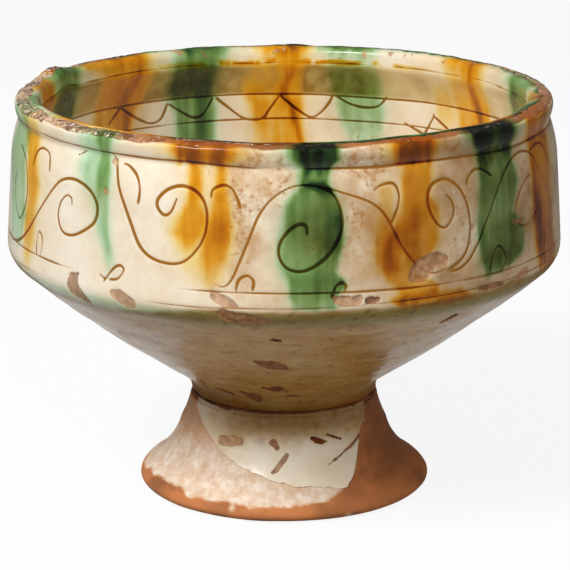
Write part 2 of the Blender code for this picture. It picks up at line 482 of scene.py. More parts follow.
SCROLLS = [
    ([(-86, 93), (-80, 90), (-78, 84), (-79, 79), (-83, 75), (-87, 77.5), (-89, 82), (-87, 86)], 0.7),
    ([(-75, 89.5), (-74, 92.8), (-72, 94.4), (-69, 94.4), (-67, 93.4), (-66, 90)], 0.8),
    ([(-94, 69), (-88, 68.6), (-83, 69.5), (-77, 73), (-70, 80), (-64, 86), (-60, 89), (-55, 89.8),
      (-50, 88.3), (-47.3, 85), (-48, 81), (-52, 78), (-56, 76.4), (-59.5, 76.8), (-61.3, 80),
      (-60.4, 83.5), (-58, 85.6), (-56.2, 85.2), (-56, 83.6)], 0.95),
    ([(-71, 68.5), (-71, 72), (-70, 74.5), (-68.3, 73.5), (-68.3, 71), (-69, 69)], 0.6),
    ([(-55.5, 95.4), (-52.5, 96.8)], 0.6),
    ([(-44, 97.6), (-42.3, 95), (-41, 90.5), (-39, 86), (-37, 81.7), (-35, 77.6), (-32.5, 75.2),
      (-29, 74), (-25, 74), (-22, 75.6), (-19, 79.5), (-17.8, 84), (-18.3, 88.3), (-20.5, 91),
      (-24, 92), (-27.5, 91), (-30, 88.6), (-30, 86.5), (-28.3, 85), (-26.6, 86), (-25.3, 89)], 0.95),
    ([(-40.5, 95.4), (-38.5, 95), (-36, 93), (-35, 90), (-35.3, 87)], 0.85),
    ([(-17, 89.6), (-16.5, 91.7), (-14, 92.8), (-12, 92), (-10.8, 90), (-10, 87.8)], 0.85),
    ([(-45, 67), (-42, 70.7), (-40, 71.8), (-39, 70.8), (-40.6, 68.6), (-43, 68)], 0.8),
    ([(-46, 68.8), (-44, 67.8)], 0.6),
    ([(-16, 69.9), (-13.6, 69.5), (-11.8, 71.4), (-10, 75.6), (-8, 80.6), (-5.8, 86), (-3, 89.8),
      (1, 92.4), (5, 93.1), (10, 92.3), (14, 91), (19, 89.2), (22, 87.3), (24, 85), (25.6, 82),
      (28, 77.5), (31, 73.6), (33.5, 71.4), (36, 70.6), (39, 71)], 0.75),
    ([(7, 92.9), (11, 91.2), (13, 87.5), (13.2, 82.5), (10.8, 77.8), (7.6, 74.8), (4, 73.3), (0.8, 74),
      (-1, 76.5), (-1, 79.5), (0.8, 82.4), (3.2, 84.1), (5, 83.9), (5.3, 82)], 1.05),
    ([(-11, 68.6), (-10.2, 71.2), (-8.3, 72.2), (-6.9, 71), (-7.1, 69)], 0.9),
    ([(10.8, 66.9), (11.7, 69.4), (13.2, 70.4), (14.2, 69.6), (13.8, 68.6)], 1.0),
    ([(21, 91.2), (23, 92.3), (26, 92.4), (27.2, 90.3), (27, 87.5), (26, 85), (25.2, 83.3)], 0.8),
    ([(39.5, 70.6), (44, 72.8), (46.2, 76), (46.9, 80.4), (46.2, 85.2), (44, 89.4), (41, 91.7),
      (38.5, 92), (36, 91), (34.8, 88.6), (35.2, 85.6), (36.9, 82.4), (38.9, 80.9), (40.6, 81.6),
      (42, 84), (41.6, 86.6), (40, 88.4)], 0.9),
    ([(39.5, 70.4), (43, 70.5), (46, 72), (48.4, 74.6), (50.2, 77), (51.7, 79.6), (54, 83), (56.6, 87.2),
      (60, 91), (64, 93.4), (68, 94.2), (72, 93.4), (74.5, 91.4), (76, 88.6)], 0.75),
    ([(46.3, 89.6), (47, 91.5), (49.3, 92.9), (52, 92.6), (54.8, 90.8)], 0.85),
    ([(73, 93.6), (78, 94.4), (82, 93), (84, 89)], 0.8),
    ([(63, 78.6), (64, 82.3), (66, 85.4), (69, 87.7), (71.4, 88.2)], 0.8),
    ([(64, 78.4), (66.3, 76.8), (70, 76.8), (74, 79)], 0.7),
    ([(53, 68.2), (54.2, 72), (56.3, 73.8), (58.4, 72), (59, 69.6), (57.4, 67.8)], 0.75),
    ([(78, 73.6), (79, 71.4), (78.3, 69.3)], 0.6),
]

# Rings scratched round the wall on the wheel: height, rise to the right, width, and the middle and
# half length of the stretch where the line is nearly lost, in millimetres from the front
WALL_RINGS = ((96.8, -0.0147, 0.62, 0, 5), (68.2, -0.0088, 0.55, -41, 17))
# The sharp turn at the waist, where the coat is rubbed thin, given in the same way
WORN_EDGE = (64.5, 0.0091, 0.45, -52, 20)

# Chips in the outer coat: a tone from pale (0) to dark clay (1), and (millimetres from the front,
# height, half width) along each. Those under the waist are wider than they look from the front.
CHIPS = [
    (0.35, [(-53.2, 67.6, 0.6), (-54.6, 65.8, 1.9), (-54.6, 63.8, 2.1), (-53.2, 62.3, 2.0),
        (-51.6, 61.4, 1.3)]),
    (0.25, [(-41.6, 64.9, 1.2), (-39.6, 64, 1.7), (-37.6, 62.9, 1.7)]),
    (0.2, [(-15.8, 66.9, 1.1), (-13.2, 65.9, 1.3), (-11, 64.8, 0.8)]),
    (0.35, [(-14.2, 62.9, 1.5), (-11, 61.7, 2.2), (-7.6, 61.1, 2.0), (-4.6, 61.2, 1.3),
        (-2.8, 61.4, 0.5)]),
    (0.25, [(12, 66.4, 0.9), (14.7, 65.9, 1.3), (17.2, 66.2, 1.1)]),
    (0.7, [(19.3, 65.8, 0.8), (21.6, 65.9, 0.7)]),
    (0.25, [(30.9, 70.2, 1.7), (32.2, 71.2, 2.5), (35.3, 73.2, 2.1), (38.5, 73.2, 1.6)]),
    (0.6, [(49.4, 64.7, 0.5), (53.7, 64.8, 0.7), (57.5, 64.6, 0.6)]),
    (0.1, [(64.6, 64.6, 1.2), (67.4, 65.4, 1.1)]),
    (0.8, [(44.7, 55.8, 0.9), (46.8, 57.3, 1.2)]),
    (0.6, [(62.9, 78.3, 0.5), (66, 78.1, 0.6)]),
    (0.0, [(-43.4, 95.7, 0.55), (-42.8, 95.5, 0.55)]),
    (0.1, [(47.4, 79.9, 0.4), (47.6, 79.5, 0.4)]),
    (0.1, [(47, 76.6, 0.4), (47, 76, 0.4)]),
    (0.1, [(-44.8, 88.9, 0.45), (-44.6, 88.4, 0.45)]),
    (0.75, [(-9.4, 45.4, 0.7), (-6.4, 44.8, 2.2), (-3.2, 43.6, 2.5), (-0.4, 42.9, 1.5),
        (1.2, 42.6, 0.5)]),
    (1.0, [(-10.4, 33.3, 0.8), (-6.2, 32.9, 2.0), (-3.2, 33.4, 1.6)]),
    (0.9, [(-26.4, 30.6, 0.8), (-22.6, 29.6, 1.9), (-19.2, 28.6, 1.4)]),
    (1.0, [(-3.2, 54.4, 0.6), (-1.4, 54, 0.8)]),
    (0.9, [(2.7, 29.4, 0.4), (6, 29.6, 0.8), (10.1, 29.4, 0.4)]),
    (0.9, [(-60.4, 29, 0.6), (-57, 28.8, 0.5)]),
    (0.8, [(-47, 30.4, 0.6), (-42, 29.8, 1.3), (-37, 29, 0.9)]),
]

# Patches where iron stained the slip: (millimetres from the front, height, half width, half height,
# strength) of each
STAINS = (
    (-7, 98.6, 17, 3.2, 0.9), (19, 98, 11, 4, 1.0), (42, 98.5, 9, 3, 0.8), (-9, 80, 4, 9, 0.8),
    (-1, 93, 7, 4, 0.5), (18, 82, 6, 12, 0.75), (43, 80, 8, 12, 0.55), (-14, 70, 5, 3, 0.4),
    (7, 80, 4, 4, 0.6), (-31, 80, 7, 8, 0.15), (-9, 91, 6, 6, 0.6), (69, 82, 5, 14, 0.6),
)

# Lines scratched inside: (degrees from the back, positive to the right, height) along each
FESTOON = [
    [(-48.1, 84.3), (-44.5, 88.2)],
    [(-44.5, 88.5), (-38.8, 84.5), (-35, 82.7), (-32.1, 83.6), (-30.4, 87.6)],
    [(-30.1, 87.6), (-26.5, 85), (-23, 83), (-20.4, 84.1), (-18.2, 88.2)],
    [(-17.5, 88.4), (-14.6, 85.7), (-9.9, 81.9), (-5.6, 81.8), (-3.6, 84.5), (-1.1, 88.4)],
    [(-1.1, 88.4), (3.1, 84.5), (6.6, 82.2), (9.1, 83.5), (11.3, 86.4), (12.4, 88.8)],
    [(12.7, 88.8), (16.3, 86.6), (19.9, 85.7), (23.3, 86), (25.2, 87.3), (26.4, 89)],
    [(31, 82.4), (36.7, 79.8), (36.9, 79.9), (39.8, 85.2), (40, 85.2), (44.5, 82.1)],
]
INNER_CUT = 0.9
# Rings inside: height, rise to the right, width, and how much the line breaks up
INNER_RINGS = ((97.9, 0.004, 0.4, 0.8), (88.7, 0.002, 0.65, 0.2), (81.7, 0.004, 0.6, 0.3))


def ring_path(height, tilt, wander, seed):
    """Arc and height of points round a ring that leans to one side and wanders a little."""
    arc = np.linspace(-HALF_TURN, HALF_TURN, 2900)
    sway = wander * grain(around(arc / WALL_RADIUS, WALL_RADIUS, 0.0), 22.0, 2, seed)
    return arc, height + tilt * WALL_RADIUS * np.sin(arc / WALL_RADIUS) + sway


def faint_stroke(place, faint, width, most):
    """A stroke along the points where a line is strong enough to show."""
    drawn = faint > 0.08
    return place[drawn], 0.5 * width * np.minimum(faint[drawn], most), 0.0


def wall_scratches(wall):
    """All the lines that are scratched on the outer wall."""
    strokes = []
    for shift in (0.0, HALF_TURN):
        for points, width in SCROLLS:
            arc, height = smooth_path(points).T
            place = wall.at((arc + shift) / WALL_RADIUS, height)
            strokes.append((place, pressed(len(arc), width), 0.0))
    for seed, (level, tilt, width, lost, reach) in enumerate((*WALL_RINGS, WORN_EDGE)):
        arc, height = ring_path(level, tilt, 0.25, seed)
        place = wall.at(arc / WALL_RADIUS, height)
        faint = 0.85 + 0.35 * grain(place, 12.0, 3, seed + 7)
        faint -= 0.95 * np.exp(-((arc - lost) / reach) ** 4)
        strokes.append(faint_stroke(place, faint, width, 1.2))
    return Marks(strokes)


def inner_scratches(wall):
    """The rings and the festoon that are scratched inside."""
    strokes = []
    for shift in (0.0, math.pi):
        for points in FESTOON:
            degrees, height = smooth_path(points).T
            place = wall.at(math.pi - np.radians(degrees) + shift, height)
            strokes.append((place, pressed(len(height), INNER_CUT), 0.0))
    for seed, (level, tilt, width, broken) in enumerate(INNER_RINGS):
        arc, height = ring_path(level, tilt, 0.2, seed + 20)
        place = wall.at(arc / WALL_RADIUS, height)
        faint = 1 - 0.4 * broken + broken * grain(place, 8.0, 3, seed)
        strokes.append(faint_stroke(place, faint, width, 1.3))
    return Marks(strokes)


def chip_marks(chips, surface, radius):
    """Where a coat is broken away. The chips are given in millimetres round the radius."""
    strokes = []
    for tone, points in chips:
        arc, height, half = smooth_path(points, 0.3).T
        strokes.append((surface.at(arc / radius, height), half, tone))
    return Marks(strokes)


def wall_stain(points):
    """How strongly iron stains each point of the outer slip, from 0 to 1."""
    arc = angle_of(points) * WALL_RADIUS
    stain = np.full(len(points), 0.1)
    for shift in (0.0, HALF_TURN):
        for middle, height, half_width, half_height, strength in STAINS:
            across = wrapped(arc - middle - shift) / half_width
            stain += strength * np.exp(-across ** 2 - ((points[:, 2] - height) / half_height) ** 2)
    return np.clip(stain * (1 + 0.5 * grain(points, 7.0, 3, 17)), 0, 1)


# Splashes of coloured glaze that ran down from the lip. Each has the softness of its two sides
# in millimetres, and rows of (height, left, right, strength) from its top to its tail.

GREEN_RUNS = [
    (1.2, 0.8, [(102, -97, -80, 0.3), (90, -97, -80, 0.34), (77, -92, -78, 0.3), (70, -91, -81, 0.2),
        (67, -91, -82, 0)]),
    (2.0, 0.9, [(97, -54, -45, 0.22), (94, -54, -44, 0.3), (90.5, -53, -43.5, 0.28),
        (86, -49.5, -43.5, 0.2), (80, -48, -43.5, 0.12), (74, -47, -42, 0)]),
    (1.0, 0.6, [(101, -49, -43.5, 0.6), (97, -48, -45, 0.42), (91, -47, -43.8, 0.4),
        (86.5, -46, -44, 0.32), (79, -46.2, -43.7, 0.34), (75, -45.2, -42.6, 0.26),
        (71, -44.5, -42, 0.12), (68, -44, -42, 0)]),
    (0.9, 0.5, [(103, 1, 12.5, 0.97), (98.6, 2.6, 12.8, 0.98), (96.8, 4.2, 10.9, 0.85),
        (95.2, 3.7, 10.6, 0.62), (93, 3.6, 10.2, 0.58), (91.5, 2.6, 11.6, 0.6), (88.5, 0.2, 12.9, 0.57),
        (84, -0.2, 13.4, 0.56), (78, -0.9, 13, 0.48), (74.5, -0.9, 12.3, 0.48), (72.8, 0, 11.6, 0.54),
        (71, 0.9, 13.9, 0.6), (69.3, 1.4, 14, 0.58), (67.3, 1.6, 11.8, 0.5), (64.6, 2.9, 11.3, 0.4),
        (63.2, 3, 11, 0)]),
    (0.5, 0.5, [(94.2, 4.5, 10, 0), (93.3, 4.8, 9.8, 0.85), (92.3, 6, 11, 0.8), (91.2, 8, 12, 0.5),
        (89.5, 10, 13, 0)]),
    (1.2, 0.5, [(89, 9.5, 13.2, 0), (85.5, 9.8, 13.3, 0.48), (80, 9, 13.3, 0.5), (77, 8, 13, 0.15),
        (74, 8, 12, 0)]),
    (0.8, 0.9, [(103, 47, 66, 0.96), (99, 49, 65.5, 0.95), (97, 51, 65, 0.75), (93, 50.5, 63.2, 0.6),
        (88, 49.7, 64.6, 0.54), (81, 48.9, 62.7, 0.5), (78, 48.8, 66.6, 0.54), (73, 49.9, 66.9, 0.56),
        (70.8, 50.6, 66.3, 0.64), (68.6, 51.6, 62, 0.55), (67.5, 52, 58, 0.3), (66.4, 52, 58, 0)]),
]
AMBER_RUNS = [
    (0.9, 1.4, [(101, -84, -74, 0.25), (96.5, -84, -74, 0.45), (91, -78.5, -72.5, 0.5),
        (86, -78, -70.5, 0.5), (81, -77.5, -71.5, 0.45), (76, -79, -72.5, 0.42),
        (71, -79.3, -73.7, 0.36), (66, -79, -75, 0.2), (62, -78.5, -75, 0)]),
    (1.2, 1.4, [(102, -27.5, -11.5, 0.6), (99.5, -26.5, -12, 0.72), (97.6, -25, -13.5, 0.66),
        (96.4, -25, -13.5, 0)]),
    (0.9, 0.9, [(97, -23, -20.2, 0.5), (92.5, -22.8, -19.7, 0.55), (88, -23.2, -19.4, 0.5),
        (85, -25, -18.5, 0.48), (81, -25.4, -19.2, 0.5), (79, -24.4, -20, 0.3), (76.5, -24, -20.5, 0)]),
    (1.0, 0.7, [(97, -16, -14, 0.5), (92.5, -16, -13.5, 0.5), (87, -17, -12.7, 0.5),
        (83.5, -17.4, -12.4, 0.5), (80, -18, -12.4, 0.5), (76, -18.4, -13, 0.42),
        (73.5, -18.2, -14.2, 0.28), (70, -17.8, -15, 0.14), (68.5, -17.8, -15, 0)]),
    (2.0, 2.0, [(88, -24, -13, 0), (84, -26, -11.5, 0.14), (74, -24, -12.5, 0.17), (69, -22, -14, 0.08),
        (67, -22, -14, 0)]),
    (0.8, 0.8, [(94.5, 22.2, 25.7, 0), (91, 22, 25.7, 0.25), (86, 21.7, 25.2, 0.26),
        (79.6, 21.8, 26, 0.45), (76, 22, 26, 0.45), (73, 22.5, 27, 0.35), (71, 23, 27, 0)]),
    (1.0, 0.8, [(102, 26, 37.5, 0.72), (99, 26.5, 37, 0.78), (97, 27, 37.2, 0.66), (95.6, 28, 37, 0)]),
    (1.0, 0.7, [(96, 28.8, 36.8, 0.48), (92.5, 28.6, 36.5, 0.54), (89, 28.6, 35.7, 0.52),
        (86, 28.2, 37.6, 0.42), (82.5, 26.5, 37.7, 0.42), (79, 24, 37.6, 0.46),
        (76.5, 22.5, 36.7, 0.44), (74.5, 22.3, 33.6, 0.45), (72.3, 22.6, 30.6, 0.42),
        (69.8, 24.6, 33.5, 0.38), (67.5, 27, 37.3, 0.45), (65.2, 27, 36.5, 0.5), (63.8, 27, 36, 0)]),
    (1.2, 1.2, [(88, 31, 34.5, 0), (86.5, 30.5, 34.5, 0.22), (84.5, 29.5, 34.5, 0.28),
        (82.3, 27.2, 33.6, 0.3), (80.3, 25.6, 30.5, 0.28), (77, 26, 30, 0.15), (74, 26, 30, 0)]),
    (0.5, 1.4, [(102, 72, 87, 0.5), (95, 73, 87.5, 0.52), (91, 71.8, 85.2, 0.52), (82, 71.6, 86, 0.54),
        (72.5, 72.6, 85.5, 0.55), (66, 74.3, 88, 0.5), (63.5, 75, 88, 0.4), (61.5, 75, 88, 0)]),
    (0.6, 0.6, [(66.8, 25, 44, 0), (65.6, 25, 44, 0.4), (64.2, 26, 46, 0.58), (63.2, 28, 48, 0.4),
        (61.8, 28, 48, 0)]),
    (0.8, 1.0, [(92, 72, 74.5, 0.3), (82, 73, 76.5, 0.65), (76, 73.6, 77.5, 0.75),
        (70, 74.6, 78.6, 0.75), (66, 75.2, 79, 0.6), (63, 75.5, 79, 0)]),
]
# The same inside, in degrees from the back instead of millimetres
INNER_GREEN_RUNS = [
    (1.2, 1.2, [(102.1, 10, 23, 0.65), (100, 11, 23, 0.25), (98, 12, 24, 0.2), (95, 12, 25, 0.42),
        (90, 12.5, 25, 0.44), (88, 13.6, 25, 0.42), (84, 14, 25.5, 0.42), (80, 15, 25, 0.34),
        (74, 15.5, 24, 0.12), (70, 16, 24, 0)]),
    (1.2, 0.9, [(102.1, -27, -14.5, 0.75), (100, -29, -16, 0.5), (97.5, -30, -17, 0.55),
        (93, -30, -18, 0.68), (88.6, -29.5, -17.8, 0.6), (84, -28, -17.5, 0.56), (70, -27, -18, 0.5),
        (55, -26, -20, 0)]),
    (0.9, 0.7, [(100, -24, -18.5, 0.3), (93, -25, -18, 0.35), (88, -22.5, -19.2, 0.45),
        (80, -22, -19.7, 0.55), (70, -22, -20, 0.4), (60, -22, -20, 0)]),
    (1.2, 1.0, [(102.1, -74, -60, 0.7), (99, -73, -61.5, 0.55), (95, -73, -62, 0.75),
        (88, -73, -63, 0.72), (80, -72, -63, 0.6), (70, -71, -64, 0.4), (60, -71, -65, 0)]),
    (1.2, 1.2, [(102.1, 70, 86, 0.45), (98, 73, 88, 0.65), (95, 72, 84, 0.6), (85, 73, 84, 0.5),
        (75, 73, 83, 0.35), (62, 74, 82, 0)]),
]
INNER_AMBER_RUNS = [
    (1.5, 1.0, [(102.1, -6, 6, 0.75), (100, -5, 5, 0.45), (97.4, -8, 6, 0.32), (93, -11.5, 5, 0.3),
        (89, -11, 5, 0.36), (86, -8, 4.6, 0.5), (80, -7, 4.5, 0.48), (70, -6, 5, 0.4), (60, -4, 4, 0)]),
    (0.7, 0.5, [(102.1, 1, 3.5, 0.5), (99, 1.4, 3.3, 0.45), (95, 0.4, 3, 0.42), (91, -1.2, 1.2, 0.42),
        (88.4, -1.6, 0.8, 0.45), (85, 0.8, 2.8, 0.55), (80, 2.2, 3.8, 0.6), (74, 3.5, 5, 0.5),
        (62, 4, 5, 0)]),
    (1.5, 1.2, [(102.1, -60, -38, 0.62), (100, -55, -38, 0.5), (97.4, -52, -36, 0.4),
        (92, -53, -37, 0.48), (84, -54, -40, 0.5), (78, -54, -41, 0.45), (68, -53, -43, 0.3),
        (60, -52, -44, 0)]),
    (0.9, 0.8, [(100.3, -41.5, -37.8, 0.4), (97.3, -42, -38.6, 0.5), (94.5, -43, -39.6, 0.5),
        (90, -45, -41.5, 0.45), (84, -43.8, -40.4, 0.5), (74, -44, -41.5, 0.35), (66, -44, -42, 0)]),
    (1.2, 1.2, [(102.1, -88, -76, 0.6), (96, -86, -75, 0.6), (85, -85, -76, 0.5), (70, -84, -77, 0.3),
        (60, -84, -78, 0)]),
    (1.0, 1.0, [(96, 40.5, 45.5, 0), (90, 40.5, 46, 0.3), (86, 41, 46, 0.22), (80, 41, 45, 0)]),
    (1.2, 1.0, [(102.1, 44, 58, 0.5), (100, 45, 58, 0.45), (97, 46, 59, 0.3), (93, 47, 60, 0.34),
        (88.6, 47.5, 60, 0.4), (84, 48, 60.5, 0.46), (80, 49, 60, 0.42), (72, 50, 59, 0.35),
        (62, 51, 58, 0)]),
    (0.8, 0.8, [(101.5, 52.2, 55.4, 0.4), (97, 52.2, 55.4, 0.45), (91, 53.2, 56.2, 0.5),
        (86.6, 54.5, 57.5, 0.45), (80, 56, 58.5, 0.3), (72, 57, 59, 0)]),
]


def run_strength(runs, across, height, period, points, seed):
    """How strongly a set of runs colours each point, from 0 to 1."""
    streak = grain(points * (1, 1, 0.08), 1.6, 2, seed + 1)
    sway = 0.5 * grain(points * (1, 1, 0.5), 5.0, 3, seed) + 0.3 * streak
    softer = 1.4 + 1.2 * smooth_step(95, 100, height)
    cloud = grain(points * (1, 1, 0.6), 4.5, 3, seed + 2)
    clear = np.ones(len(across))
    for soft_left, soft_right, rows in runs:
        levels, left, right, strength = np.array(rows[::-1], dtype=float).T
        middle = 0.5 * (left + right).mean()
        place = (across - middle + period / 2) % period - period / 2 + middle + sway
        left_edge = np.interp(height, levels, left)
        right_edge = np.interp(height, levels, right)
        near_left, near_right = soft_left * softer, soft_right * softer
        inside = smooth_step(left_edge - near_left, left_edge + near_left, place)
        inside *= smooth_step(right_edge + near_right, right_edge - near_right, place)
        # A thin halo reaches four times as far as the edge itself
        halo = smooth_step(left_edge - 4 * near_left, left_edge + near_left, place)
        halo *= smooth_step(right_edge + 4 * near_right, right_edge - near_right, place)
        depth = np.interp(height + 0.6 * streak, levels, strength, left=0.0)
        inside = 0.78 * inside + 0.22 * halo
        clear *= 1 - np.clip(depth * inside * (1 + 0.18 * streak + 0.12 * cloud), 0, 1)
    return 1 - clear


def both_sides(runs, half_turn):
    """The given runs, and the same ones half a turn on."""
    turned = [(*soft, [(z, left + half_turn, right + half_turn, depth) for z, left, right, depth in rows])
              for *soft, rows in runs]
    return runs + turned


def outer_tints(points):
    """Strength of green and amber glaze at points on the outside."""
    arc = angle_of(points) * WALL_RADIUS
    return [run_strength(both_sides(runs, HALF_TURN), arc, points[:, 2], 2 * HALF_TURN, points, seed)
            for runs, seed in ((GREEN_RUNS, 3), (AMBER_RUNS, 8))]


def from_back(points):
    """Degrees from the back, positive to the right."""
    return np.degrees(np.arctan2(points[:, 0], points[:, 1]))


def inner_tints(points):
    """Strength of green and amber glaze at points on the inside."""
    return [run_strength(both_sides(runs, 180), from_back(points), points[:, 2], 360, points, seed)
            for runs, seed in ((INNER_GREEN_RUNS, 13), (INNER_AMBER_RUNS, 18))]


# Materials

def rgba(value):
    """A full colour from a hex code or from linear red, green and blue."""
    return (*(linear(value) if isinstance(value, str) else value), 1.0)


def add_node(tree, kind, *values, stops=(), **named):
    """Add a shader node. Names in small letters are its settings, and other names its inputs.

    Values without a name go to its first inputs. Inputs may be plain values or links.
    """
    node = tree.nodes.new("ShaderNode" + kind)
    for index, (place, stop) in enumerate(stops):
        elements = node.color_ramp.elements
        element = elements[index] if index < 2 else elements.new(place)
        element.position = place
        element.color = rgba(stop)
    for key, value in (*named.items(), *enumerate(values)):
        if isinstance(key, str) and key[0].islower():
            setattr(node, key, value)
            continue
        socket = node.inputs[key.replace("_", " ") if isinstance(key, str) else key]
        if isinstance(value, bpy.types.NodeSocket):
            tree.links.new(value, socket)
        else:
            socket.default_value = rgba(value) if socket.type == "RGBA" else value
    return node.outputs


class Coating:
    """A new material, with short ways to add the nodes that the materials share."""

    def __init__(self, name):
        self.material = bpy.data.materials.new(name)
        self.material.use_nodes = True
        self.tree = self.material.node_tree
        self.tree.nodes.clear()
        self.where = self.add("TexCoord")["Object"]

    def add(self, kind, *values, **named):
        return add_node(self.tree, kind, *values, **named)

    def stored(self, *names):
        """Numbers that are kept for each vertex."""
        return [self.add("Attribute", attribute_name=name)["Fac"] for name in names]

    def noise(self, pitch, detail=4.0, roughness=0.5, where=None):
        """Noise of 0 to 1, with features of about pitch millimetres."""
        return self.add("TexNoise", Vector=where or self.where, Scale=1 / (pitch * MM),
                        Detail=detail, Roughness=roughness)["Fac"]

    def ramp(self, value, *stops):
        """A colour for each value. The stops are the two ends and then those between."""
        return self.add("ValToRGB", value, stops=stops)[0]

    def between(self, value, low, high, first=0.0, last=1.0):
        """First where the value is low, last where it is high, and a straight run between."""
        return self.add("MapRange", value, low, high, first, last)[0]

    def math(self, operation, *values):
        return self.add("Math", *values, operation=operation)[0]

    def mix(self, share, first, second, kind="MIX"):
        """A share of the second colour laid over the first."""
        return self.add("MixRGB", share, first, second, blend_type=kind)[0]

    def bump(self, height, strength, depth):
        """Small relief, depth in millimetres."""
        return self.add("Bump", Strength=strength, Distance=depth * MM, Height=height)[0]

    def finish(self, **inputs):
        """Close the material with one shader."""
        shader = self.add("BsdfPrincipled", **inputs)[0]
        self.add("OutputMaterial", Surface=shader)
        return self.material


def glaze_tints(m, base, green, amber):
    """Lay copper green and iron amber glaze over a colour, as filters that take light away."""
    amber_tint = m.ramp(amber, (0.0, (1, 1, 1)), (1.0, (0.11, 0.04, 0.014)), (0.22, (0.95, 0.80, 0.36)),
                        (0.45, (0.85, 0.47, 0.03)), (0.62, (0.70, 0.28, 0.004)), (0.8, (0.33, 0.10, 0.006)))
    green_tint = m.ramp(green, (0.0, (1, 1, 1)), (1.0, (0.006, 0.012, 0.006)), (0.25, (0.52, 0.82, 0.66)),
                        (0.48, (0.25, 0.50, 0.22)), (0.64, (0.12, 0.29, 0.09)), (0.82, (0.03, 0.10, 0.036)))
    warm = m.mix(1.0, base, amber_tint, "MULTIPLY")
    return m.mix(1.0, warm, green_tint, "MULTIPLY")


def glazed_slip(name):
    """White slip under a clear lead glaze, brushed on, scratched, splashed and fired.

    The glaze pools in the scratches, so they look darker than the clay in them, and it is
    smooth and glossy apart from chips, which show matt clay with a thin dark edge.
    """
    c = colours()
    m = Coating(name)
    scratch, green, amber, chip, tone, under, stain, veil = m.stored(
        "scratch", "green", "amber", "chip", "tone", "under", "stain", "veil")
    # The stored warmth also paints light: outside, the slip is warmer and darker to the right, partly its
    # own tone and partly painted shade away from the light; under the waist it places the painted
    # highlights, and inside it darkens the band between the upper rings
    thick = m.math("MULTIPLY_ADD", veil, 0.4, m.noise(14, 5.0))
    slip = m.ramp(thick, (0.36, c["slip"]), (1.0, "#A58050"), (0.66, c["slip_warm"]), (0.86, "#CDAF88"))
    pink = m.math("MULTIPLY", m.between(m.noise(5), 0.42, 0.72, 0.0, 0.7), veil)
    blush = m.mix(pink, slip, "#DABDA4")

    # Iron stain: soft blotches of 2 mm and freckles of 0.7 mm, which gather in patches. Under the
    # waist and on the slip on the foot the same number carries dirt with painted shade as well
    blotch = m.noise(3.2, 5.0, 0.6)
    haze = m.math("MULTIPLY", stain, m.between(blotch, 0.4, 0.66, 0.0, 0.8))
    hazed = m.mix(haze, blush, "#BB8A50")
    over = m.math("SUBTRACT", m.noise(1.5, 4.0, 0.62), m.between(stain, 0.0, 1.0, 0.7, 0.48))
    stained = m.mix(m.between(over, 0.0, 0.16, 0.0, 0.72), hazed, "#A86C2E")

    # The underside: thin slip with throwing lines, drawn wider than the real ones so that they show,
    # brown specks, pale patches on the flanks that are painted highlights, and dirt with painted shade
    # at the neck, just under the turn and high on the slip on the foot
    flat = m.add("Mapping", Vector=m.where, Scale=(1.0, 1.0, 5.0))[0]
    lines = m.noise(6, 6.0, 0.65, flat)
    thin = m.ramp(lines, (0.3, "#A0763A"), (0.75, "#C8A96C"), (0.52, c["underside"]))
    # Painted highlights: pale patches on the flanks under the waist
    painted_highlight = m.math("MULTIPLY", m.between(blotch, 0.44, 0.6), veil)
    highlighted = m.mix(painted_highlight, thin, "#DCCDBE")
    specks = m.between(m.noise(2.4, 3.0, 0.6), 0.57, 0.66, 0.0, 0.75)
    specked = m.mix(specks, highlighted, "#7E4E18")
    # Dirt with painted shade: darker brown where the stored stain and shade is high
    dirt_and_shade_colour = m.mix(m.math("MULTIPLY", stain, 0.7), specked, "#6E4C20")
    ground = m.mix(under, stained, dirt_and_shade_colour)

    line = m.add("MapRange", scratch, 0.12, -0.12, interpolation_type="SMOOTHSTEP")[0]
    drawn = m.mix(line, ground, c["scratch"])
    pool = m.between(line, 0.0, 1.0, 1.0, 1.3)
    tinted = glaze_tints(m, drawn, m.math("MULTIPLY", green, pool), m.math("MULTIPLY", amber, pool))

    rim = m.between(m.math("ABSOLUTE", chip), 0.16, 0.02, 0.0, 0.55)
    rimmed = m.mix(rim, tinted, "#8A6040")
    bared = m.between(chip, 0.08, -0.06)
    rough_clay = m.noise(1.8)
    pale_clay = m.ramp(rough_clay, (0.36, "#A0683E"), (0.62, "#D6A67C"))
    dark_clay = m.ramp(rough_clay, (0.35, "#4C220B"), (0.7, "#8A4A1C"))
    clay = m.mix(tone, pale_clay, dark_clay)
    # Pale flakes still carry a film of slip, so what was drawn there shows through
    shown = m.math("MULTIPLY", bared, m.between(tone, 0.0, 1.0, 0.68, 1.0))
    surface = m.mix(shown, rimmed, clay)

    gloss = m.between(m.noise(7), 0.35, 0.7, 0.12, 0.3)
    dull = m.math("MAXIMUM", m.math("MULTIPLY", under, stain), bared)
    matt = m.mix(dull, gloss, (0.8, 0.8, 0.8))
    relief = m.math("MULTIPLY_ADD", m.math("MULTIPLY", lines, under), 0.7, m.noise(3))
    return m.finish(Base_Color=surface, Roughness=matt, Normal=m.bump(relief, 0.35, 0.25), IOR=1.5,
                    Specular_IOR_Level=0.3)


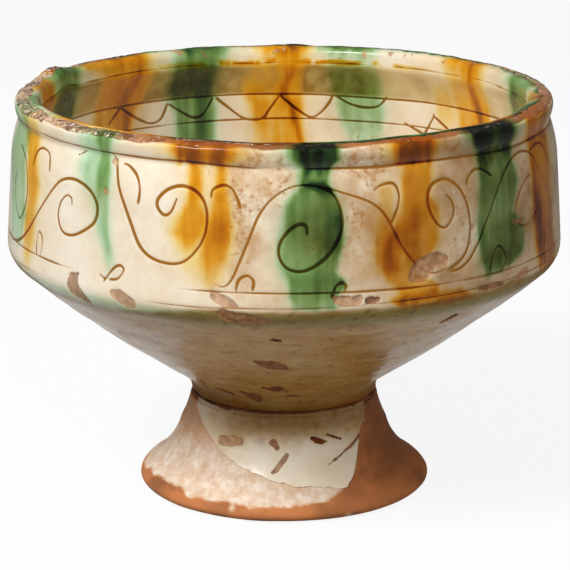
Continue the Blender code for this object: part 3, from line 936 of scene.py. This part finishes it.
def rubbed_clay(name):
    """Fired red earthenware on the lip, where the glaze is rubbed thin.

    Orange clay with grit, dark where a splash soaked in. Where the lip is rough, it is browner,
    holds pale flecks, partly bits of slip and partly painted glints, and dark pits, and shines more.
    """
    c = colours()
    m = Coating(name)
    green, amber, crumb = m.stored("green", "amber", "crumb")
    cloud = m.noise(5, 6.0)
    clay = m.ramp(cloud, (0.32, c["clay_dark"]), (0.6, c["clay"]))
    browned = m.ramp(cloud, (0.34, "#7C563A"), (0.58, "#DCB188"))
    soaked = glaze_tints(m, m.mix(crumb, clay, browned), green, amber)
    grit = m.noise(0.8)
    left = m.math("MULTIPLY_ADD", crumb, 0.12, grit)
    # Pale flecks: partly bits of slip left on the rough lip, partly painted glints
    flecks_and_painted_glints = m.mix(m.between(left, 0.63, 0.74, 0.0, 0.85), soaked, "#E8D8C6")
    pits = m.math("MULTIPLY", m.between(grit, 0.44, 0.34, 0.0, 0.8), crumb)
    surface = m.mix(pits, flecks_and_painted_glints, "#38261A")
    gloss = m.between(crumb, 0.0, 1.0, 0.32, 0.2)
    return m.finish(Base_Color=surface, Roughness=gloss, Normal=m.bump(grit, 0.6, 0.3))


def crusted_clay(name):
    """Unglazed red earthenware of the foot: matt, with a pale lime crust from the ground.
    Its right side is painted darker as shade, and its lowest millimetre is darker too.
    """
    c = colours()
    m = Coating(name)
    crust, soot = m.stored("crust", "soot")
    clay = m.ramp(m.noise(10, 6.0), (0.3, c["clay_dark"]), (0.58, c["clay"]))
    # Painted shade on the right side, and a darker lowest edge
    browned = m.mix(soot, clay, "#643A1E")
    lime = m.ramp(m.noise(3.0, 6.0, 0.68), (0.3, "#CFAA88"), (0.7, "#F3E5D8"), (0.5, c["crust"]))
    # Where the crust is thin, the clay warms it
    film = m.mix(crust, "#E0B07C", lime)
    surface = m.mix(crust, browned, film)
    return m.finish(Base_Color=surface, Roughness=0.82, Normal=m.bump(m.noise(0.9, 3.0), 0.25, 0.2))


def seam_slip(name):
    """Raw clay slip squeezed out of the joint, burnt dark and dirty."""
    c = colours()
    m = Coating(name)
    dark = m.ramp(m.noise(3), (0.35, c["seam"]), (0.7, c["clay_dark"]))
    return m.finish(Base_Color=dark, Roughness=0.8)


# Pieces

# Steps round the bowl, the foot and the seam
TURN_STEPS = 540
FOOT_STEPS = 420
SEAM_STEPS = 360


class BOWL_OT_outer_coat(bpy.types.Operator):
    """Coat the outside with incised slip and splashed glaze"""
    bl_idname = "bowl.outer_coat"
    bl_label = "Outer coat"

    def execute(self, context):
        s = sizes()
        outline = bowl_outline()
        _, start = lip_places(outline)
        waist = outline.near(s.waist_radius, 60.0)
        end = outline.length - 0.02
        wall = Stretch(outline, start, end)
        scratches = wall_scratches(wall)
        chips = chip_marks(CHIPS, wall, WALL_RADIUS)
        stations = spaced([start, waist, end], [0.8, 1.7])
        back = spaced([start, waist, end - 9, end], [5.0, 9.0, 1.5])
        shape = coat_shape(outline, stations, back, s.coat, TURN_STEPS)
        refine(shape, (scratches, chips))
        piece = add_piece("outside_coat", shape, glazed_slip("lead_glazed_slip_outside"))
        mesh = piece.data
        angle, place, on_face = coat_layout(mesh)
        ragged = 0.5 * grain(around(angle, WALL_RADIUS, 0.0), 9.0, 3, 4) + 0.5 * rough_lip(angle)
        ragged *= smooth_step(start + 4, start, place) - 0.3 * smooth_step(end - 4, end, place)
        place = place + ragged
        radius, height = outline.at(place)
        out_r, out_z = outline.normal(place)
        points = around(angle, radius, height)
        scratch = np.where(on_face, scratches.nearest(points)[0], FAR)
        chip, tone = chips.nearest(points)
        chip = np.where(on_face, chip + 0.35 * grain(points, 2.2, 3, 5), FAR)
        green, amber = outer_tints(points)
        # Green pools under the turn, and brown slip is smeared up from the seam
        green = np.maximum(green, 0.17 * smooth_step(57, 60, height) * smooth_step(64, 62.5, height))
        smear = smooth_step(27.4, 25.4, height + grain(points * (1, 1, 0), 5.0, 3, 9))
        amber = np.maximum(amber, 0.3 * smear)
        # At the left, where the edge is lost, the white slip runs a little further under the waist
        arc = wrapped(angle * WALL_RADIUS)
        level, tilt, _, lost, _ = WORN_EDGE
        turn = level + tilt * points[:, 0] - 3 * np.exp(-((arc - lost) / 24) ** 4)
        under = smooth_step(turn + 0.2, turn - 1.4, height + 0.5 * grain(points, 6.0, 2, 6))
        # Pale patches on both flanks under the waist, painted as highlights
        painted_flank_highlights = np.exp(-((np.abs(arc) - 44) / 16) ** 2 - ((height - 51) / 6) ** 2)
        # The slip is warmer and darker towards the right, partly its own tone and partly painted shade away
        # from the light
        veil = smooth_step(-70, 70, arc) * (1 - under) + 0.4 * painted_flank_highlights * under
        # Dirt with painted shade under the waist: darker at the neck, where the bowl meets the foot, and in
        # a band just under the turn
        dirt_and_painted_shade = smooth_step(33, 26, height) + 0.55 * smooth_step(58, 61.5, height)
        stain = wall_stain(points) * (1 - under) + dirt_and_painted_shade * under
        store(mesh, scratch=scratch, chip=chip, tone=tone, green=green, amber=amber, under=under,
              stain=stain, veil=veil)
        lift = groove(scratch) - s.chip_depth * smooth_step(0.1, -0.25, chip)
        lift += 0.16 * grain(points, 38.0, 2, 1) + 0.12 * under * grain(points * (0.2, 0.2, 1), 2.4, 2, 2)
        lift *= smooth_step(start - 0.5, start + 1.5, place)
        lift = np.where(on_face, lift, -s.coat)
        height = height + out_z * lift + lip_wave(angle) * smooth_step(88, 100, height)
        set_points(mesh, around(angle, radius + out_r * lift, height))
        hand_over(piece, "outer_glaze")
        return {"FINISHED"}


class BOWL_OT_inner_coat(bpy.types.Operator):
    """Coat the inside with slip and splashed glaze"""
    bl_idname = "bowl.inner_coat"
    bl_label = "Inner coat"

    def execute(self, context):
        s = sizes()
        outline = bowl_outline()
        crest, _ = lip_places(outline)
        corner = outline.near(*BASIN_EDGE)
        scratches = inner_scratches(Stretch(outline, corner, crest))
        end = crest + 0.3
        stations = spaced([0.0, corner, end], [1.7, 0.75])
        back = spaced([0.0, corner, end], [4.0, 3.0])
        shape = coat_shape(outline, stations, back, s.coat, TURN_STEPS)
        refine(shape, (scratches,))
        piece = add_piece("inside_coat", shape, glazed_slip("lead_glazed_slip_inside"))
        mesh = piece.data
        angle, place, on_face = coat_layout(mesh)
        rough = rough_lip(angle)
        ragged = 0.9 * grain(around(angle, WALL_RADIUS, 0.0), 5.0, 3, 24) - rough
        place = place + ragged * smooth_step(end - 3, end, place)
        radius, height = outline.at(place)
        out_r, out_z = outline.normal(place)
        points = around(angle, radius, height)
        scratch = np.where(on_face, scratches.nearest(points)[0], FAR)
        green, amber = inner_tints(points)
        # The glaze is thick and dark along the crest, in a broken line of green and brown
        dark = smooth_step(crest - 1.7, crest - 0.5, place + 0.7 * grain(points, 3.0, 3, 28))
        dark *= 1 - 0.8 * rough
        turn = grain(points * (1, 1, 0), 12.0, 2, 29)
        green = np.maximum(green, dark * smooth_step(-0.35, 0.25, turn) * 0.85)
        amber = np.maximum(amber, dark * smooth_step(0.35, -0.25, turn) * 0.9)
        # Between the upper two rings the glaze is thick and olive, and less so on the right. The band is
        # also painted darker as shade under the overhanging lip, strongest at the left and middle, away
        # from the light
        high, low = INNER_RINGS[0][0], INNER_RINGS[1][0]
        olive_wash_and_painted_shade = smooth_step(low - 0.3, low + 1.1, height) * smooth_step(high + 0.3, high - 1.3, height)
        olive_wash_and_painted_shade *= 0.35 + 0.65 * smooth_step(50, 5, from_back(points))
        green = 1 - (1 - green) * (1 - 0.1 * olive_wash_and_painted_shade * (1 - smooth_step(0.1, 0.5, amber)))
        amber = 1 - (1 - amber) * (1 - 0.18 * olive_wash_and_painted_shade)
        # A broken line of brown glaze along the top of that band
        line = smooth_step(0.9, 0.45, np.abs(height - high - 0.2 - 0.3 * grain(points, 6.0, 2, 25)))
        line *= smooth_step(-0.5, 0, grain(points * (1, 1, 0.4), 4.0, 3, 26))
        amber = np.maximum(amber, 0.58 * line * np.exp(-(points[:, 0] / 34) ** 4))
        stain = np.clip(0.05 + 0.4 * grain(points, 20.0, 3, 27), 0, 1)
        # Small pale flakes where the inner edge of the lip is rubbed
        rubbed = smooth_step(98.6, 99.6, height) * on_face
        chip = 0.5 - rubbed * (0.9 * grain(points, 2.2, 3, 30) - 0.2)
        veil = 0.15 + 1.1 * olive_wash_and_painted_shade * (1 - 0.7 * smooth_step(0.25, 0.5, amber))
        store(mesh, scratch=scratch, chip=chip, tone=0.0, green=green, amber=amber, under=0.0,
              stain=stain, veil=veil)
        lift = groove(scratch) + 0.14 * grain(points, 30.0, 2, 21)
        lift = np.where(on_face, lift, -s.coat)
        height = height + out_z * lift + lip_wave(angle) * smooth_step(92, 100, height)
        radius = np.where(radius < 0.01, 0.0, radius + out_r * lift)
        set_points(mesh, around(angle, radius, height))
        hand_over(piece, "inner_glaze")
        return {"FINISHED"}


class BOWL_OT_clay_body(bpy.types.Operator):
    """Throw the clay bowl that carries the coats"""
    bl_idname = "bowl.clay_body"
    bl_label = "Clay body"

    def execute(self, context):
        s = sizes()
        outline = bowl_outline()
        crest, bare_end = lip_places(outline)
        under = s.coat + 0.3
        inner = spaced([0.0, crest - 1.5], [4.0])
        band = spaced([crest - 1.4, bare_end + 1.4], [0.35])
        outer = spaced([bare_end + 1.5, outline.length - 1.1], [3.0])
        neck = spaced([outline.length - 1.0, outline.length], [0.5])
        stations = np.concatenate([inner, band, outer, neck])
        depth = np.concatenate([np.full(len(inner), under), np.full(len(band), 0.15),
                                np.full(len(outer), under), np.full(len(neck), 0.2)])
        radius, height = outline.at(stations)
        out_r, out_z = outline.normal(stations)
        radius = np.where(radius < 1e-6, 0.0, radius - out_r * depth)
        height = height - out_z * depth
        stub_end = SHOULDER_HEIGHT - STUB_DEPTH
        radius = np.concatenate([radius, [STUB_RADIUS, STUB_RADIUS, 0.0]])
        height = np.concatenate([height, [SHOULDER_HEIGHT, stub_end, stub_end]])
        marks = np.concatenate([stations, [BACK_MARK] * 3])
        shape = spin_outline(marks, radius, height, TURN_STEPS)
        piece = add_piece("clay_bowl", shape, rubbed_clay("red_earthenware_lip"))
        mesh = piece.data
        points = mesh_points(mesh)
        angle = angle_of(points)
        station = station_of(mesh)
        on_lip = smooth_step(crest - 1.4, crest, station) * smooth_step(bare_end + 1.4, bare_end, station)
        green, amber = outer_tints(points)
        crumb = rough_lip(angle)
        # The lump at the left is nearly black
        lump = np.exp(-(np.degrees(angle) - LIP_LUMP) ** 2 / 10)
        amber = np.maximum(0.5 * amber, 0.9 * lump)
        store(mesh, green=green, amber=amber, crumb=crumb)
        lift = on_lip * (0.12 * grain(points, 2.5, 3, 31) + 0.25 * crumb * grain(points, 1.6, 2, 32))
        out_r, out_z = outline.normal(np.minimum(station, outline.length))
        radius = np.hypot(points[:, 0], points[:, 1]) + out_r * lift
        height = points[:, 2] + out_z * lift + lip_wave(angle) * smooth_step(92, 100, points[:, 2])
        set_points(mesh, around(angle, radius, height))
        hand_over(piece, "bowl_body")
        return {"FINISHED"}


# The tongue of slip on the foot: its left and right edge from the top down, in (degrees, height)
TONGUE_LEFT = [(-66, 24.2), (-61, 21.5), (-52, 18.7), (-41, 16.2), (-34, 13.8), (-22.9, 11.7),
               (-11.8, 9.9), (0, 8.4)]
TONGUE_RIGHT = [(58, 24.2), (54, 21), (50.5, 18.9), (46, 16.5), (43, 14.2), (39, 11.6), (35.3, 9.4),
                (29, 6.4)]
TONGUE_COAT = 0.5
FOOT_MIDDLE = 28.0
# Chips and a scratch in it: a tone from pale (0) to dark clay (1), and (degrees, height, half width)
# along each
TONGUE_CHIPS = [
    (0.35, [(-36, 16.7, 1.2), (-30, 17, 1.5), (-25, 17.2, 1.1)]),
    (0.75, [(-5.6, 17.5, 1.1), (-3.8, 16.3, 0.6)]),
    (0.5, [(1.6, 14.7, 0.5), (-3, 11.8, 0.6), (-5.5, 10.7, 0.3)]),
    (0.7, [(51, 19.4, 0.3), (47, 16.8, 0.7), (44, 14.2, 0.6), (42, 12.6, 0.4)]),
    (1.0, [(15.5, 18.4, 0.4), (19.1, 17.5, 0.7), (23.5, 17.2, 0.2)]),
    (0.9, [(24.8, 18.8, 0.3), (32.4, 17.3, 0.4)]),
    (0.8, [(46, 17.1, 0.4), (35, 14.6, 0.3), (23.3, 11.9, 0.2)]),
]
# Lower edge of the lime crust on the foot, in (degrees, height)
CRUST_EDGE = [(-180, 6), (-140, 5), (-98, 3.4), (-60, 4.6), (-40, 3.7), (-22, 4.1), (-5, 3.8),
              (19, 4.3), (27, 6.7), (33, 9), (38, 11.5), (44, 16), (48, 22)]
# Single spots of crust below that edge
CRUST_SPOTS = ((-20.6, 3.2), (25.5, 1.0))
# The bed of slip between stub and socket, with the bead that shows at the seam, in (radius, height)
SEAM_BEAD = [(16.4, 20.2), (16.4, 24.6), (23.3, 24.6), (23.75, 24.5), (23.9, 24.2), (23.75, 23.9),
             (23.3, 23.8), (16.9, 23.8), (16.9, 20.2)]


class BOWL_OT_foot(bpy.types.Operator):
    """Throw the hollow foot, lute it under the bowl and let slip run down its front"""
    bl_idname = "bowl.foot"
    bl_label = "Foot, seam and slip"

    def execute(self, context):
        outline = foot_outline()
        self.make_foot(outline)
        self.make_seam()
        self.make_tongue(outline)
        return {"FINISHED"}

    def make_foot(self, outline):
        stations = spaced([0.0, outline.length], [0.55])
        radius, height = outline.at(stations)
        radius = np.concatenate([[0.0, SOCKET_RADIUS], radius])
        height = np.concatenate([[FOOT_HEIGHT - STUB_DEPTH] * 2, height])
        radius[-1] = 0.0
        marks = np.concatenate([[BACK_MARK] * 2, stations])
        shape = spin_outline(marks, radius, height, FOOT_STEPS)
        piece = add_piece("clay_foot", shape, crusted_clay("red_earthenware_foot"))
        mesh = piece.data
        points = mesh_points(mesh)
        angle = angle_of(points)
        degrees = np.degrees(angle)
        station = station_of(mesh)
        bottom = outline.near(*FOOT_EDGE)
        flank = smooth_step(6.4, 8, station) * smooth_step(bottom + 1, bottom - 1, station)
        edge = np.interp(degrees, *np.array(CRUST_EDGE).T)
        rag = grain(points, 3.0, 3, 51)
        crust = smooth_step(edge - 0.15, edge + 0.35, points[:, 2] + 0.5 * rag)
        crust *= 0.5 + 0.5 * smooth_step(18, 11, points[:, 2] + 1.5 * rag)
        crust *= smooth_step(50, 42, degrees + 2 * rag) * smooth_step(-165, -120, degrees + 12 * rag)
        for turn, level in CRUST_SPOTS:
            crust += np.exp(-((degrees - turn) / 1.2) ** 2 - ((points[:, 2] - level) / 0.7) ** 2)
        crust = np.clip(crust * flank, 0, 1)
        # Painted shade: the clay is darker on the right, away from the light. The lowest millimetre is
        # darkened too
        soot = 0.55 * smooth_step(36, 60, degrees + 6 * rag) * smooth_step(4, 8, points[:, 2] + rag)
        soot = np.maximum(soot, 0.8 * smooth_step(1.2, 0.2, points[:, 2] + 0.6 * rag))
        store(mesh, crust=crust, soot=soot)
        relief = crust * (0.06 + 0.03 * grain(points, 2.6, 2, 53))
        lift = flank * (0.12 * grain(points, 14.0, 2, 52) + relief)
        out_r, out_z = outline.normal(np.clip(station, 0, outline.length))
        radius = np.hypot(points[:, 0], points[:, 1]) + out_r * lift
        set_points(mesh, around(angle, radius, np.maximum(points[:, 2] + out_z * lift, 0)))
        hand_over(piece, "pedestal_foot")

    def make_seam(self):
        radius, height = np.array(SEAM_BEAD).T
        shape = spin_outline(np.zeros(len(SEAM_BEAD)), radius, height, SEAM_STEPS)
        piece = add_piece("seam_bead", shape, seam_slip("dark_luting_slip"))
        mesh = piece.data
        points = mesh_points(mesh)
        radius = np.hypot(points[:, 0], points[:, 1])
        squeezed = smooth_step(22.5, 23.5, radius)
        radius += squeezed * 0.25 * grain(points, 3.0, 3, 61)
        height = points[:, 2] + squeezed * 0.3 * grain(points * (1, 1, 0), 5.0, 2, 62)
        set_points(mesh, around(angle_of(points), radius, height))
        hand_over(piece, "luting_seam")

    def make_tongue(self, outline):
        surface = Stretch(outline, outline.near(*FOOT_TOP), outline.near(*FOOT_EDGE))
        shape = bmesh.new()
        bmesh.ops.create_grid(shape, x_segments=150, y_segments=80, size=0.5)
        raised = bmesh.ops.extrude_face_region(shape, geom=shape.faces[:], use_keep_orig=True)["geom"]
        raised = {item for item in raised if isinstance(item, bmesh.types.BMVert)}
        on_face = np.array([vert in raised for vert in shape.verts])
        across, up = np.array([vert.co[:2] for vert in shape.verts]).T + 0.5
        rows = np.linspace(0, 1, len(TONGUE_LEFT))
        left, right = (np.stack([np.interp(1 - up, rows, [p[i] for p in side]) for i in (0, 1)])
                       for side in (TONGUE_LEFT, TONGUE_RIGHT))
        degrees, height = left + (right - left) * across
        # The edges wander by about a third of a millimetre
        edge = around(np.radians(degrees), FOOT_MIDDLE, height)
        degrees += 0.7 * grain(edge, 2.5, 3, 72)
        height += 0.3 * grain(edge, 2.0, 3, 73) * smooth_step(22.5, 20.5, height)
        angle = np.radians(degrees)
        points = surface.at(angle, height)
        chips = [(tone, [(math.radians(a) * FOOT_MIDDLE, z, half) for a, z, half in rows])
                 for tone, rows in TONGUE_CHIPS]
        chip, tone = chip_marks(chips, surface, FOOT_MIDDLE).nearest(points)
        chip += 0.2 * grain(points, 1.5, 3, 71)
        lift = TONGUE_COAT * (1 - 0.4 * smooth_step(0.1, -0.2, chip)) + 0.07 * grain(points, 5.0, 3, 74)
        lift = np.where(on_face, lift, -TONGUE_COAT)
        for vert, place in zip(shape.verts, surface.at(angle, height, lift)):
            vert.co = Vector(place) * MM
        bmesh.ops.recalc_face_normals(shape, faces=shape.faces)
        piece = add_piece("slip_tongue", shape, glazed_slip("lead_glazed_slip_foot"))
        # Dirt with painted shade on the slip on the foot: darker towards the right, away from the light,
        # and towards the top, in the shadow under the bowl, laid on with the underside's colour and the
        # stain
        shade = smooth_step(-65, -20, degrees + 3 * grain(points, 5.0, 3, 76))
        dirt_and_painted_shade = (0.3 + 0.6 * shade) * smooth_step(15, 21, height + 1.5 * grain(points, 6.0, 3, 75))
        top_dirt_and_painted_shade = 0.1 + 0.9 * shade * smooth_step(17, 22.5, height)
        store(piece.data, scratch=FAR, chip=chip, tone=tone, green=0.0, amber=0.0, under=dirt_and_painted_shade,
              stain=top_dirt_and_painted_shade, veil=0.0)
        hand_over(piece, "foot_slip")


# The stage: the camera was fitted to the photograph's frame, in pixels and millimetres
PICTURE_WIDTH = 570
FOCAL_PIXELS = 2586.0
CAMERA_PLACE = (0.25, -638.9, 225.3)
CAMERA_PITCH = 15.24
SENSOR_WIDTH = 36.0

# Softboxes: name, degrees to the right of the camera, degrees up, distance and width in metres,
# watts, and whether the glaze mirrors it
SOFTBOXES = (
    ("key_softbox", -42, 46, 1.5, 0.5, 24.5, True),
    ("fill_softbox", 46, 12, 2.2, 1.0, 12.0, False),
)
# Height that the softboxes point at, in metres, and how bright the room is, with 1 for white
LIGHT_AIM = 0.07
ROOM_LEVEL = 0.15
# Half size of the floor, and the distances between which its reflection fades, in metres
FLOOR_HALF = 3.0
FLOOR_NEAR = (0.1, 0.2)
# How white the floor is to the camera, and how pale it is in the glaze, from 0 to 1
FLOOR_WHITE = 0.9
FLOOR_MIRRORED = 0.6


class BOWL_OT_stage(bpy.types.Operator):
    """Set the floor, the soft light and the camera"""
    bl_idname = "bowl.stage"
    bl_label = "Stage"

    def execute(self, context):
        scene = context.scene
        scene.view_settings.view_transform = "Standard"
        self.lay_floor()
        self.set_light(scene)
        self.set_camera(scene)
        return {"FINISHED"}

    def lay_floor(self):
        """A pale floor that keeps the shadow. It throws back less light than the camera sees."""
        shape = bmesh.new()
        bmesh.ops.create_grid(shape, x_segments=1, y_segments=1, size=FLOOR_HALF)
        m = Coating("pale_studio_floor")
        path = m.add("LightPath")
        away = m.add("VectorMath", m.where, operation="LENGTH")["Value"]
        near = m.between(away, FLOOR_NEAR[1], FLOOR_NEAR[0], 0.0, FLOOR_MIRRORED)
        mirrored = m.math("MULTIPLY", path["Is Glossy Ray"], near)
        seen = m.math("MAXIMUM", path["Is Camera Ray"], mirrored)
        paint = m.mix(seen, "#9A9792", colours()["floor"])
        plain = m.add("BsdfDiffuse", Color=paint)[0]
        white = m.add("Emission", Color=(1.0, 1.0, 1.0), Strength=1.0)[0]
        mixed = m.add("MixShader", m.math("MULTIPLY", seen, FLOOR_WHITE), plain, white)[0]
        m.add("OutputMaterial", Surface=mixed)
        add_piece("floor", shape, m.material)

    def set_light(self, scene):
        """A dim pale room, a softbox at the upper left and a weaker, low one on the right."""
        world = bpy.data.worlds.new("studio")
        scene.world = world
        world.use_nodes = True
        tree = world.node_tree
        tree.nodes.clear()
        seen = add_node(tree, "LightPath")["Is Camera Ray"]
        level = add_node(tree, "MapRange", Value=seen, To_Min=ROOM_LEVEL, To_Max=1.0)[0]
        room = add_node(tree, "Background", Color=(1.0, 1.0, 1.0), Strength=level)[0]
        add_node(tree, "OutputWorld", Surface=room)
        for name, turn, rise, distance, width, power, mirrored in SOFTBOXES:
            lamp = bpy.data.lights.new(name, "AREA")
            lamp.size = width
            lamp.energy = power
            holder = bpy.data.objects.new(name, lamp)
            slope = math.radians(rise)
            away = Vector(around(np.radians([turn]), math.cos(slope), math.sin(slope))[0])
            holder.location = Vector((0, 0, LIGHT_AIM)) + away * distance
            holder.rotation_euler = (-away).to_track_quat("-Z", "Y").to_euler()
            holder.visible_glossy = mirrored
            scene.collection.objects.link(holder)

    def set_camera(self, scene):
        lens = bpy.data.cameras.new("camera")
        lens.sensor_width = SENSOR_WIDTH
        lens.lens = FOCAL_PIXELS * SENSOR_WIDTH / PICTURE_WIDTH
        camera = bpy.data.objects.new("camera", lens)
        camera.location = Vector(CAMERA_PLACE) * MM
        camera.rotation_euler = (math.radians(90 - CAMERA_PITCH), 0, 0)
        scene.collection.objects.link(camera)
        scene.camera = camera


class BOWL_PT_panel(bpy.types.Panel):
    """Sizes, colours and steps of the bowl"""
    bl_label = "Footed bowl"
    bl_idname = "BOWL_PT_panel"
    bl_space_type = "VIEW_3D"
    bl_region_type = "UI"
    bl_category = "Bowl"

    def draw(self, context):
        for group in (context.scene.bowl_sizes, context.scene.bowl_colours):
            for key in group.__annotations__:
                self.layout.prop(group, key)
        for step in STEPS:
            self.layout.operator(step.bl_idname)


STEPS = (BOWL_OT_clay_body, BOWL_OT_inner_coat, BOWL_OT_outer_coat, BOWL_OT_foot, BOWL_OT_stage)
CLASSES = (BowlSizes, BowlColours, *STEPS, BOWL_PT_panel)


def register():
    for kind in CLASSES:
        bpy.utils.register_class(kind)
    bpy.types.Scene.bowl_sizes = bpy.props.PointerProperty(type=BowlSizes)
    bpy.types.Scene.bowl_colours = bpy.props.PointerProperty(type=BowlColours)


def unregister():
    del bpy.types.Scene.bowl_colours
    del bpy.types.Scene.bowl_sizes
    for kind in reversed(CLASSES):
        bpy.utils.unregister_class(kind)


def main():
    register()
    bpy.ops.bowl.clay_body()
    bpy.ops.bowl.inner_coat()
    bpy.ops.bowl.outer_coat()
    bpy.ops.bowl.foot()
    bpy.ops.bowl.stage()


if __name__ == "__main__":
    main()
